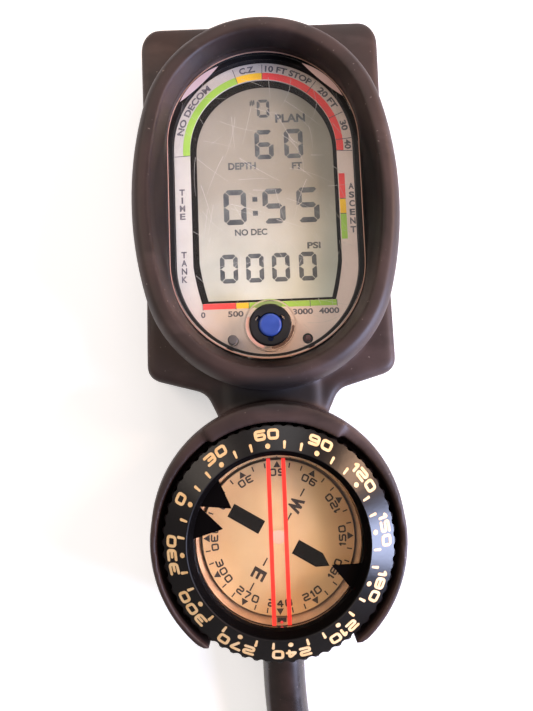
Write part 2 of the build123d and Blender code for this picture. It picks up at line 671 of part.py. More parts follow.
def far_end_place():
    """Where the hose ends inside its coil, and which way it points, in degrees from +X."""
    swept = COIL_TURNS * 360
    angle = math.radians(COIL_ENTRY_ANGLE - swept)
    outward = Vector(math.cos(angle), math.sin(angle), 0)
    ahead = Vector(math.sin(angle), -math.cos(angle), 0)
    turn = math.radians(TAIL_TURN)
    inner = coil_radius(swept) - TAIL_BEND_RADIUS
    end = outward * (inner + TAIL_BEND_RADIUS * math.cos(turn))
    end += ahead * (TAIL_BEND_RADIUS * math.sin(turn))
    heading = ahead * math.cos(turn) - outward * math.sin(turn)
    return Pos(COIL_X + end.X, COIL_Y + end.Y, FAR_END_Z), math.degrees(math.atan2(heading.Y, heading.X))


def at_far_end(shape):
    """Moves a shape drawn on the inlet axis, from y = 0 towards -Y, to the hose's far end."""
    place, heading = far_end_place()
    return place * Rot(0, 0, heading + 90) * Pos(0, 0, -HOSE_Z) * shape


def hose_coil():
    inner = 46.0
    outer = COIL_ENTRY_RADIUS + HOSE_DIAMETER / 2
    low = 0.15
    ring = tube_ring(outer, inner, low, low + HOSE_DIAMETER, COIL_X, COIL_Y)
    ring = fillet(ring.edges().filter_by(GeomType.CIRCLE), 5.0)
    return ring - at_far_end(rod_along_y(13.0, -56.0, -17.6))


def far_ferrule():
    ferrule = rod_along_y(FERRULE_RADIUS, -18.0, 0.0)
    return at_far_end(crimp_grooves(ferrule, [-15.6, -12.0, -8.4, -4.8]))


def far_fitting():
    """Male 7/16-20 end that screws into the regulator's first stage."""
    fitting = hex_along_y(14.0, -26.0, -18.0) + rod_along_y(4.0, -28.6, -26.0)
    fitting += rod_along_y(THREAD_RADIUS, -38.6, -28.6)
    return at_far_end(fitting - rod_along_y(1.2, -39.0, -17.0))


def far_seal():
    return at_far_end(Pos(0, -27.3, HOSE_Z) * Rot(90, 0, 0) * Torus(5.0, 0.95))


PARTS = [
    console_boot, computer_case, lens_seal, computer_lens, dial_plate, dial_mask, lcd_panel, lcd_reflector,
    contact_strips, circuit_board, board_screws, processor_chip, timing_crystal, sound_disc, battery,
    battery_contacts, battery_cap, battery_cap_seal, push_button, button_collar, button_spring,
    button_seal, button_switch, wet_contact, warning_lamp, depth_sensor, pressure_inlet, inlet_nut,
    pressure_sensor, swivel_spool, spool_seals, hose_swivel, hose_ferrule, compass_base,
    compass_capsule, capsule_lens, lubber_lines, compass_card, card_magnet, pivot_jewel, pivot_pin,
    bezel, bezel_click_spring, hose, hose_coil, far_ferrule, far_fitting, far_seal,
]

os.makedirs("parts", exist_ok=True)
for make_part in PARTS:
    export_step(make_part(), f"parts/{make_part.__name__}.step")
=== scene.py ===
"""Looks of the dive console: hose, boot, printing, materials, light and camera round the fixed CAD frame.

Sizes are in millimetres, and MM turns them into Blender's metres.
"""
import json
import math
import random

import bmesh
import bpy
from mathutils import Matrix, Vector


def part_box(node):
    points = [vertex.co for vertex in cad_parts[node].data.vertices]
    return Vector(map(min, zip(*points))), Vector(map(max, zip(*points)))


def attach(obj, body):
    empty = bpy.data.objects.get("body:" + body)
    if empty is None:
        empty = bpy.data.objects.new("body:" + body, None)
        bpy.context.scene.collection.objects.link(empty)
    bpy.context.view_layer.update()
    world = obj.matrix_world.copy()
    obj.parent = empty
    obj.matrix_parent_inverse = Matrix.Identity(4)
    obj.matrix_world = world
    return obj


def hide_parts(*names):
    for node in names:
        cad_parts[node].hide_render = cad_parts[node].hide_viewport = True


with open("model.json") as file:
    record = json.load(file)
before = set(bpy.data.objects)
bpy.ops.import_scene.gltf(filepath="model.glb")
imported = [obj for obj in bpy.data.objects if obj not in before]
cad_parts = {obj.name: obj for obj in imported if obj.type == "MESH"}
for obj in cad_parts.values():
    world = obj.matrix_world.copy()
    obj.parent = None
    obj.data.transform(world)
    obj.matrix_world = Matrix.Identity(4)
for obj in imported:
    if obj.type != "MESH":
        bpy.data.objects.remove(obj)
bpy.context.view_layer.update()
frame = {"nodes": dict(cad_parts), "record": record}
nodes = frame["nodes"]

MM = 0.001
PRINT = 0.03                # thickness of printed marks
STROKE_LIFT = 0.004         # crossing strokes of one mark lie this much above each other


def centre_of(node):
    low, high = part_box(node)
    return (low + high) / 2 / MM


def top_of(node):
    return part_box(node)[1].z / MM


COMPASS = centre_of("compass_card")
CARD_TOP = top_of("compass_card")
LABEL_TOP = top_of("dial_plate")
DISPLAY_TOP = top_of("lcd_panel")
BUTTON = centre_of("push_button")
BOSS_TOP = top_of("computer_lens")
LENS_TOP = 24.0             # the flat of the computer's lens, below its boss
BEZEL_ZERO = 295.5          # bearings are clockwise from +Y, seen from above
CARD_NORTH = 120.95         # bearing of the card's arrow


# ---- camera ------------------------------------------------------------------------------------
CAMERA_PLACE = Vector((-1.4, -24.0, 178.5)) * MM
CAMERA_TARGET = Vector((-1.4, -11.5, 33.0)) * MM
CAMERA_ROLL = math.radians(2.2)
CAMERA_LENS = 27.34
CAMERA_SENSOR = 36.0


def make_camera():
    data = bpy.data.cameras.new("camera")
    data.lens = CAMERA_LENS
    data.sensor_width = CAMERA_SENSOR
    data.clip_start = 0.005
    ahead = (CAMERA_TARGET - CAMERA_PLACE).normalized()
    along = Vector((0, 1, 0))
    up = (along - ahead * along.dot(ahead)).normalized()
    right = ahead.cross(up)
    rolled_right = right * math.cos(CAMERA_ROLL) - up * math.sin(CAMERA_ROLL)
    rolled_up = right * math.sin(CAMERA_ROLL) + up * math.cos(CAMERA_ROLL)
    turn = Matrix((rolled_right, rolled_up, -ahead)).transposed()
    camera = bpy.data.objects.new("camera", data)
    camera.matrix_world = Matrix.Translation(CAMERA_PLACE) @ turn.to_4x4()
    bpy.context.scene.collection.objects.link(camera)
    bpy.context.scene.camera = camera


# ---- hose --------------------------------------------------------------------------------------
HOSE_DIAMETER = 12.5
HOSE_ROUTE = [
    (0.0, -60.0, 9.0),
    (0.0, -90.0, 9.0),
    (0.6, -122.0, 6.9),
    (8.4, -153.0, 6.4),
    (23.6, -181.6, 6.4),
]
COIL_CENTRE = Vector((-50.3, -204.6))
COIL_ENTRY_RADIUS = 76.0
COIL_ENTRY_ANGLE = 28.0
COIL_SWEEP = 1.35 * 360
COIL_STEP = 24.0
ROUTE_SWEEP = 12.0          # the route's last point lies this far round the coil already
FLOOR_Z = 6.4
TAIL_BEND_RADIUS = 48.0
TAIL_TURN = 115.0
TAIL_STEPS = 6
FAR_END_Z = 7.4


def coil_radius(swept):
    return COIL_ENTRY_RADIUS - HOSE_DIAMETER * swept / 360


def coil_points():
    """Control points of the coil's turns: a touch outside the turns, because the spline cuts inside them."""
    bulge = 1 / math.cos(math.radians(COIL_STEP / 2))
    points = []
    swept = ROUTE_SWEEP + COIL_STEP
    while swept < COIL_SWEEP - COIL_STEP / 3:
        angle = math.radians(COIL_ENTRY_ANGLE - swept)
        place = COIL_CENTRE + Vector((math.cos(angle), math.sin(angle))) * coil_radius(swept) * bulge
        points.append((place.x, place.y, FLOOR_Z))
        swept += COIL_STEP
    return points


def tail_points():
    """The last bend, which turns in from the coil and rises to the fitting's height."""
    angle = math.radians(COIL_ENTRY_ANGLE - COIL_SWEEP)
    outward = Vector((math.cos(angle), math.sin(angle)))
    ahead = Vector((math.sin(angle), -math.cos(angle)))
    centre = COIL_CENTRE + outward * (coil_radius(COIL_SWEEP) - TAIL_BEND_RADIUS)
    step = math.radians(TAIL_TURN) / TAIL_STEPS
    points = []
    for index in range(TAIL_STEPS):
        turn = step * (index + 0.5)
        reach = TAIL_BEND_RADIUS / math.cos(step / 2)
        place = centre + outward * math.cos(turn) * reach + ahead * math.sin(turn) * reach
        points.append((place.x, place.y, FAR_END_Z if index > TAIL_STEPS - 3 else FLOOR_Z))
    turn = math.radians(TAIL_TURN)
    end = centre + (outward * math.cos(turn) + ahead * math.sin(turn)) * TAIL_BEND_RADIUS
    points.append((end.x, end.y, FAR_END_Z))
    return points


def make_hose(material):
    data = bpy.data.curves.new("hose_line", "CURVE")
    data.dimensions = "3D"
    data.resolution_u = 10
    data.bevel_depth = HOSE_DIAMETER / 2 * MM
    data.bevel_resolution = 9
    data.use_fill_caps = True
    spline = data.splines.new("NURBS")
    route = HOSE_ROUTE + coil_points() + tail_points()
    spline.points.add(len(route) - 1)
    for point, place in zip(spline.points, route):
        point.co = (*(Vector(place) * MM), 1.0)
    spline.order_u = 3
    spline.use_endpoint_u = True
    data.materials.append(material)
    hose = bpy.data.objects.new("pressure_hose", data)
    bpy.context.scene.collection.objects.link(hose)
    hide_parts("hose", "hose_coil")
    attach(hose, "console")


# ---- material building -------------------------------------------------------------------------
def rgb(red, green, blue):
    """A display colour, 0 to 255, as the shader's linear colour."""
    shares = [value / 255 for value in (red, green, blue)]
    linear = [s / 12.92 if s <= 0.04045 else ((s + 0.055) / 1.055) ** 2.4 for s in shares]
    return (*linear, 1.0)


def new_material(name, **sockets):
    material = bpy.data.materials.new(name)
    material.use_nodes = True
    shader = material.node_tree.nodes["Principled BSDF"]
    for socket, value in sockets.items():
        shader.inputs[socket.replace("_", " ")].default_value = value
    return material, material.node_tree, shader


def noise(tree, scale, detail=4.0, stretch=(1, 1, 1)):
    """Noise in the part's own frame; scale counts features per metre."""
    place = tree.nodes.new("ShaderNodeTexCoord")
    mapping = tree.nodes.new("ShaderNodeMapping")
    texture = tree.nodes.new("ShaderNodeTexNoise")
    mapping.inputs["Scale"].default_value = stretch
    texture.inputs["Scale"].default_value = scale
    texture.inputs["Detail"].default_value = detail
    tree.links.new(place.outputs["Object"], mapping.inputs["Vector"])
    tree.links.new(mapping.outputs["Vector"], texture.inputs["Vector"])
    return texture.outputs["Fac"]


def ranged(tree, value, low, high, new_low=0.0, new_high=1.0):
    node = tree.nodes.new("ShaderNodeMapRange")
    node.inputs["From Min"].default_value = low
    node.inputs["From Max"].default_value = high
    node.inputs["To Min"].default_value = new_low
    node.inputs["To Max"].default_value = new_high
    tree.links.new(value, node.inputs["Value"])
    return node.outputs["Result"]


def along_axis(tree, axis, start, end):
    """0 to 1 between two places along one of the part's axes, in millimetres."""
    place = tree.nodes.new("ShaderNodeTexCoord")
    split = tree.nodes.new("ShaderNodeSeparateXYZ")
    tree.links.new(place.outputs["Object"], split.inputs["Vector"])
    return ranged(tree, split.outputs[axis], start * MM, end * MM)


def mixed(tree, factor, first, second):
    """Mixes two colours, each a fixed colour or an output."""
    node = tree.nodes.new("ShaderNodeMix")
    node.data_type = "RGBA"
    tree.links.new(factor, node.inputs[0])
    for socket, colour in ((node.inputs[6], first), (node.inputs[7], second)):
        if isinstance(colour, tuple):
            socket.default_value = colour
        else:
            tree.links.new(colour, socket)
    return node.outputs[2]


def bumped(tree, shader, height, strength, distance):
    """Relief; distance is its depth in millimetres."""
    node = tree.nodes.new("ShaderNodeBump")
    node.inputs["Strength"].default_value = strength
    node.inputs["Distance"].default_value = distance * MM
    tree.links.new(height, node.inputs["Height"])
    tree.links.new(node.outputs["Normal"], shader.inputs["Normal"])


def surface(name, dark, light, roughness, spread=0.06, blotch=90, grain=2600, strength=0.25, distance=0.03,
            specks=None, stretch=(1, 1, 1), **sockets):
    """A solid surface: blotchy colour and gloss, a fine grain in relief and, where given, dusty specks."""
    material, tree, shader = new_material(name, **sockets)
    cloud = noise(tree, blotch, 5.0, stretch)
    colour = mixed(tree, ranged(tree, cloud, 0.35, 0.65), dark, light)
    rough = ranged(tree, cloud, 0.3, 0.7, roughness - spread, roughness + spread)
    if specks is not None:
        spot = ranged(tree, noise(tree, 620, 2.0), 0.70, 0.76)
        colour = mixed(tree, spot, colour, specks)
    tree.links.new(colour, shader.inputs["Base Color"])
    tree.links.new(rough, shader.inputs["Roughness"])
    bumped(tree, shader, noise(tree, grain, 3.0, stretch), strength, distance)
    return material


def clear(name, tint, ior, roughness, glint=0.5):
    """Clear plastic that lets the lamps' light through to what is behind it."""
    material, tree, shader = new_material(name, Base_Color=tint, IOR=ior, Roughness=roughness,
                                          Specular_IOR_Level=glint, Transmission_Weight=1.0)
    light_path = tree.nodes.new("ShaderNodeLightPath")
    see_through = tree.nodes.new("ShaderNodeBsdfTransparent")
    mix = tree.nodes.new("ShaderNodeMixShader")
    output = tree.nodes["Material Output"]
    tree.links.new(light_path.outputs["Is Shadow Ray"], mix.inputs["Fac"])
    tree.links.new(shader.outputs["BSDF"], mix.inputs[1])
    tree.links.new(see_through.outputs["BSDF"], mix.inputs[2])
    tree.links.new(mix.outputs["Shader"], output.inputs["Surface"])
    return material


def half_seen(name, colour, alpha, roughness):
    """A faint mark that what is under it shows through."""
    material, tree, shader = new_material(name, Base_Color=colour, Roughness=roughness)
    see_through = tree.nodes.new("ShaderNodeBsdfTransparent")
    mix = tree.nodes.new("ShaderNodeMixShader")
    mix.inputs["Fac"].default_value = alpha
    tree.links.new(see_through.outputs["BSDF"], mix.inputs[1])
    tree.links.new(shader.outputs["BSDF"], mix.inputs[2])
    tree.links.new(mix.outputs["Shader"], tree.nodes["Material Output"].inputs["Surface"])
    return material


# ---- the materials, one for each slot of the record ---------------------------------------------
GUARD_CENTRE = (0.0, 33.75)
GUARD_INSIDE = (33.2, 49.2) # inner edge of the guard's crest
# centre and radii of the painted shade in the neck between the guard and the compass cup
NECK_SHADE_CENTRE = (0.0, -22.0)
NECK_SHADE_RADII = (24.0, 5.5)
THROAT_RADIUS = 24.4        # the bezel's opening, where its cone ends
CARD_RADIUS = 21.0


def oval_shade(tree, centre, radii, full, none):
    """1 inside an upright oval column, 0 outside it; full and none are shares of its radii."""
    place = tree.nodes.new("ShaderNodeTexCoord")
    mapping = tree.nodes.new("ShaderNodeMapping")
    length = tree.nodes.new("ShaderNodeVectorMath")
    length.operation = "LENGTH"
    mapping.inputs["Scale"].default_value = (1 / (radii[0] * MM), 1 / (radii[1] * MM), 0)
    mapping.inputs["Location"].default_value = (-centre[0] / radii[0], -centre[1] / radii[1], 0)
    tree.links.new(place.outputs["Object"], mapping.inputs["Vector"])
    tree.links.new(mapping.outputs["Vector"], length.inputs[0])
    return ranged(tree, length.outputs["Value"], full, none, 1.0, 0.0)


def boot_rubber():
    """Brown-black rubber, scuffed and dusty, with painted shade: darker in the funnel and the neck, and with
    weaker specular in the funnel.
    """
    material, tree, shader = new_material("boot_rubber")
    cloud = noise(tree, 60, 5.0)
    colour = mixed(tree, ranged(tree, cloud, 0.35, 0.65), rgb(42, 26, 22), rgb(60, 40, 35))
    scuff = ranged(tree, noise(tree, 34, 6.0, (1, 2.4, 1)), 0.56, 0.72, 0.0, 0.35)
    colour = mixed(tree, scuff, colour, rgb(104, 84, 80))
    spot = ranged(tree, noise(tree, 700, 2.0), 0.71, 0.77)
    colour = mixed(tree, spot, colour, rgb(120, 104, 96))
    # Painted shade: the funnel inside the guard's crest is painted darker with weaker specular, and the neck
    # is painted darker.
    funnel = oval_shade(tree, GUARD_CENTRE, GUARD_INSIDE, 0.95, 1.02)
    colour = mixed(tree, funnel, colour, rgb(11, 7, 8))
    colour = mixed(tree, oval_shade(tree, NECK_SHADE_CENTRE, NECK_SHADE_RADII, 0.55, 1.0), colour, rgb(24, 16, 16))
    tree.links.new(colour, shader.inputs["Base Color"])
    tree.links.new(ranged(tree, funnel, 0.0, 1.0, 0.5, 0.12), shader.inputs["Specular IOR Level"])
    tree.links.new(ranged(tree, cloud, 0.3, 0.7, 0.5, 0.62), shader.inputs["Roughness"])
    bumped(tree, shader, noise(tree, 2300, 3.0), 0.35, 0.05)
    return material


def hose_rubber():
    return surface("hose_rubber", rgb(28, 15, 12), rgb(46, 29, 24), 0.3, blotch=140, grain=1500,
                   strength=0.2, distance=0.04, specks=rgb(96, 84, 80), Specular_IOR_Level=0.6)


def bezel_plastic():
    """Glossy black plastic, a little rippled; in the shadowed throat it is matt, weakly specular and painted
    darker, as painted shade.
    """
    material, tree, shader = new_material("bezel_plastic")
    cloud = noise(tree, 120, 5.0)
    # Painted shade: the throat's colour is painted darker and its gloss taken down.
    throat = oval_shade(tree, COMPASS, (THROAT_RADIUS, THROAT_RADIUS), 0.985, 1.0)
    colour = mixed(tree, ranged(tree, cloud, 0.35, 0.65), rgb(7, 3, 4), rgb(14, 8, 8))
    tree.links.new(mixed(tree, throat, colour, rgb(5, 3, 3)), shader.inputs["Base Color"])
    tree.links.new(ranged(tree, throat, 0.0, 1.0, 0.3, 0.8), shader.inputs["Roughness"])
    tree.links.new(ranged(tree, throat, 0.0, 1.0, 0.34, 0.05), shader.inputs["Specular IOR Level"])
    bumped(tree, shader, noise(tree, 600, 3.0), 0.4, 0.06)
    return material


def black_plastic(name, roughness=0.45):
    return surface(name, rgb(20, 19, 21), rgb(34, 32, 34), roughness)


def label_print():
    """Pearly silver label, pinker and duller towards the right and the foot, as a painted sheen."""
    material, tree, shader = new_material("label_print", Roughness=0.4, Metallic=0.25)
    # The change of tone towards the right and the foot is painted sheen, not the label's own colour.
    pearl = mixed(tree, noise(tree, 260, 5.0), rgb(192, 190, 180), rgb(212, 211, 201))
    pink = mixed(tree, noise(tree, 260, 5.0), rgb(218, 197, 186), rgb(236, 215, 204))
    sheen_across = mixed(tree, along_axis(tree, "X", -20, 30), pearl, pink)
    colour = mixed(tree, along_axis(tree, "Y", 12, -8), sheen_across, rgb(222, 202, 190))
    tree.links.new(colour, shader.inputs["Base Color"])
    return material


def display_glass():
    """Grey-green display with painted shade: darker towards the top and paler towards the foot."""
    material, tree, shader = new_material("display_glass", Roughness=0.35)
    # Painted shade: darker towards the top, paler towards the foot.
    cloud = ranged(tree, noise(tree, 45, 5.0), 0.35, 0.65)
    top_shade = mixed(tree, cloud, rgb(132, 128, 115), rgb(147, 142, 128))
    pale = mixed(tree, cloud, rgb(180, 184, 170), rgb(202, 206, 192))
    tree.links.new(mixed(tree, along_axis(tree, "Y", 40, 8), top_shade, pale), shader.inputs["Base Color"])
    return material


def card_print():
    """Luminous cream card with painted shade: duller towards its rim, and browner towards its right side,
    where the throat's shadow falls.
    """
    material, tree, shader = new_material("card_print", Roughness=0.6)
    cloud = ranged(tree, noise(tree, 55, 5.0), 0.35, 0.65)
    cream = mixed(tree, cloud, rgb(190, 158, 114), rgb(202, 172, 130))
    brown = mixed(tree, cloud, rgb(180, 135, 90), rgb(194, 149, 104))
    tan = mixed(tree, cloud, rgb(192, 154, 108), rgb(204, 168, 122))
    # Painted shade: duller towards the rim, browner towards the right side.
    middle = oval_shade(tree, COMPASS, (CARD_RADIUS, CARD_RADIUS), 0.55, 0.9)
    rim_shaded = mixed(tree, middle, tan, cream)
    tree.links.new(mixed(tree, along_axis(tree, "X", 11, 20), rim_shaded, brown), shader.inputs["Base Color"])
    bumped(tree, shader, noise(tree, 2600, 3.0), 0.08, 0.01)
    return material


def button_blue():
    return surface("button_blue", rgb(44, 70, 150), rgb(58, 86, 170), 0.38, blotch=160, grain=1800,
                   strength=0.1, distance=0.02)


def polished(name, dark, light, roughness=0.22):
    """Turned or plated metal, with fine lathe marks."""
    return surface(name, dark, light, roughness, blotch=150, grain=1400, strength=0.15, distance=0.01,
                   stretch=(1, 6, 1), Metallic=1.0)


STEEL = (rgb(170, 170, 172), rgb(205, 204, 202))
BRASS = (rgb(176, 140, 74), rgb(214, 178, 104))

SLOT_MATERIALS = {
    "boot_rubber": boot_rubber(),
    "case_plastic": black_plastic("case_plastic"),
    "seal_rubber": surface("seal_rubber", rgb(18, 17, 18), rgb(30, 28, 29), 0.6),
    "clear_lens": clear("clear_lens", rgb(250, 250, 250), 1.49, 0.02),
    "dial_print": label_print(),
    "mask_black": surface("mask_black", rgb(20, 18, 18), rgb(34, 31, 30), 0.5, blotch=400),
    "display_glass": display_glass(),
    "reflector": surface("reflector", rgb(196, 196, 188), rgb(220, 220, 212), 0.6),
    "contact_rubber": surface("contact_rubber", rgb(120, 120, 126), rgb(150, 150, 154), 0.7,
                              stretch=(1, 12, 1)),
    "board": surface("board", rgb(16, 74, 40), rgb(26, 98, 54), 0.35, blotch=700, grain=900),
    "screw_steel": polished("screw_steel", *STEEL),
    "chip_plastic": black_plastic("chip_plastic", 0.6),
    "can_steel": polished("can_steel", *STEEL, 0.3),
    "disc_brass": polished("disc_brass", *BRASS, 0.35),
    "battery_steel": polished("battery_steel", *STEEL, 0.25),
    "contact_brass": polished("contact_brass", *BRASS, 0.3),
    "button_blue": button_blue(),
    "collar_plastic": black_plastic("collar_plastic", 0.4),
    "contact_pin": surface("contact_pin", rgb(96, 92, 92), rgb(136, 130, 128), 0.45, Metallic=0.6),
    "lamp_red": surface("lamp_red", rgb(74, 40, 42), rgb(92, 48, 50), 0.4),
    "sensor_steel": polished("sensor_steel", *STEEL, 0.35),
    "fitting_chrome": polished("fitting_chrome", rgb(186, 184, 180), rgb(216, 214, 208), 0.18),
    "spool_brass": polished("spool_brass", *BRASS),
    "ferrule_steel": polished("ferrule_steel", *STEEL, 0.28),
    "compass_plastic": black_plastic("compass_plastic"),
    "capsule_bowl": surface("capsule_bowl", rgb(158, 122, 92), rgb(182, 144, 112), 0.4, blotch=200),
    "capsule_clear": clear("capsule_clear", rgb(250, 247, 240), 1.4, 0.02, glint=0.1),
    # The lubber lines' emission is a painted glow; they are no lamp.
    "lubber_red": surface("lubber_red", rgb(246, 40, 30), rgb(254, 60, 46), 0.5,
                          Emission_Color=(1.0, 0.06, 0.03, 1.0), Emission_Strength=0.25),
    "card_print": card_print(),
    "magnet_iron": surface("magnet_iron", rgb(70, 70, 74), rgb(96, 96, 100), 0.5, Metallic=0.8),
    "jewel": surface("jewel", rgb(150, 30, 60), rgb(176, 44, 76), 0.15),
    "bezel_plastic": bezel_plastic(),
    "hose_rubber": hose_rubber(),
}
INKS = {
    "red": surface("ink_red", rgb(238, 62, 62), rgb(250, 82, 80), 0.45),
    "yellow": surface("ink_yellow", rgb(240, 182, 30), rgb(250, 204, 40), 0.45),
    "green": surface("ink_green", rgb(144, 190, 66), rgb(162, 204, 84), 0.45),
    "grey": surface("ink_grey", rgb(78, 76, 82), rgb(104, 100, 106), 0.5, blotch=700),
    "black": surface("ink_black", rgb(7, 5, 4), rgb(18, 13, 12), 0.5, blotch=600, Specular_IOR_Level=0.05),
    "segment": surface("ink_segment", rgb(54, 60, 64), rgb(86, 92, 92), 0.5, blotch=260),
    "brown": surface("ink_brown", rgb(30, 19, 14), rgb(48, 33, 26), 0.6, blotch=700),
    "cream": surface("ink_cream", rgb(246, 200, 138), rgb(255, 218, 166), 0.55, blotch=500),
    # a painted highlight for the card's pivot
    "pale": half_seen("pivot_glint", rgb(240, 206, 186), 0.5, 0.4),
    # inks for the painted reflections on the lens's shoulders
    "reflection_blue": surface("reflection_blue", rgb(226, 202, 206), rgb(242, 222, 226), 0.35),
    "reflection_pink": surface("reflection_pink", rgb(230, 188, 180), rgb(244, 208, 200), 0.35),
}


def dress_nodes():
    for part in frame["record"]["subparts"]:
        mesh = nodes[part["node"]].data
        mesh.materials.clear()
        mesh.materials.append(SLOT_MATERIALS[part["material_slot"]])


# ---- printing ----------------------------------------------------------------------------------
def flat(x0, y0, z, turn=0.0):
    """Lays a shape on a level face, turned anticlockwise by some degrees."""
    cosine, sine = math.cos(math.radians(turn)), math.sin(math.radians(turn))

    def place(x, y, lift):
        return Vector((x0 + x * cosine - y * sine, y0 + x * sine + y * cosine, z + lift)) * MM
    return place


def round_centre(centre, radius, bearing, height, inward=False):
    """Lays a shape round a centre. Its top points outwards or inwards, and height gives z at each radius."""
    way = -1 if inward else 1

    def place(x, y, lift):
        reach = radius + way * y
        angle = math.radians(bearing) + way * x / radius
        return Vector((centre[0] + reach * math.sin(angle), centre[1] + reach * math.cos(angle),
                       height(reach) + lift)) * MM
    return place


def level(z):
    return lambda radius: z


def arc_through(first, middle, last, steps):
    """Points of the circle's arc through three points."""
    a, b, c = (Vector(point) for point in (first, middle, last))
    to_b, to_c = b - a, c - a
    double = 2 * to_b.cross(to_c)
    from_a = Vector((to_c.y * to_b.length_squared - to_b.y * to_c.length_squared,
                     to_b.x * to_c.length_squared - to_c.x * to_b.length_squared)) / double
    centre, radius = a + from_a, from_a.length
    start = math.atan2(a.y - centre.y, a.x - centre.x)
    through = (math.atan2(b.y - centre.y, b.x - centre.x) - start) % math.tau
    sweep = (math.atan2(c.y - centre.y, c.x - centre.x) - start) % math.tau
    if through > sweep:
        sweep -= math.tau
    angles = [start + sweep * step / steps for step in range(steps + 1)]
    return [centre + Vector((math.cos(angle), math.sin(angle))) * radius for angle in angles]


def rounded(points, radius, closed):
    """The same line with its corners eased."""
    result = []
    for index, point in enumerate(points):
        if not closed and index in (0, len(points) - 1):
            result.append(point)
            continue
        before = points[index - 1] - point
        after = points[(index + 1) % len(points)] - point
        reach = min(radius, before.length * 0.49, after.length * 0.49)
        start, end = point + before.normalized() * reach, point + after.normalized() * reach
        for step in range(5):
            t = step / 4
            result.append(start * (1 - t) ** 2 + point * 2 * t * (1 - t) + end * t ** 2)
    return result


def shrunk(points, gap):
    """A convex outline, listed anticlockwise, with each side moved in."""
    count = len(points)
    sides = []
    for index in range(count):
        start, end = points[index], points[(index + 1) % count]
        along = (end - start).normalized()
        sides.append((start + Vector((-along.y, along.x)) * gap, along))
    result = []
    for index in range(count):
        (p, u), (q, v) = sides[index - 1], sides[index]
        share = ((q.x - p.x) * v.y - (q.y - p.y) * v.x) / (u.x * v.y - u.y * v.x)
        result.append(p + u * share)
    return result


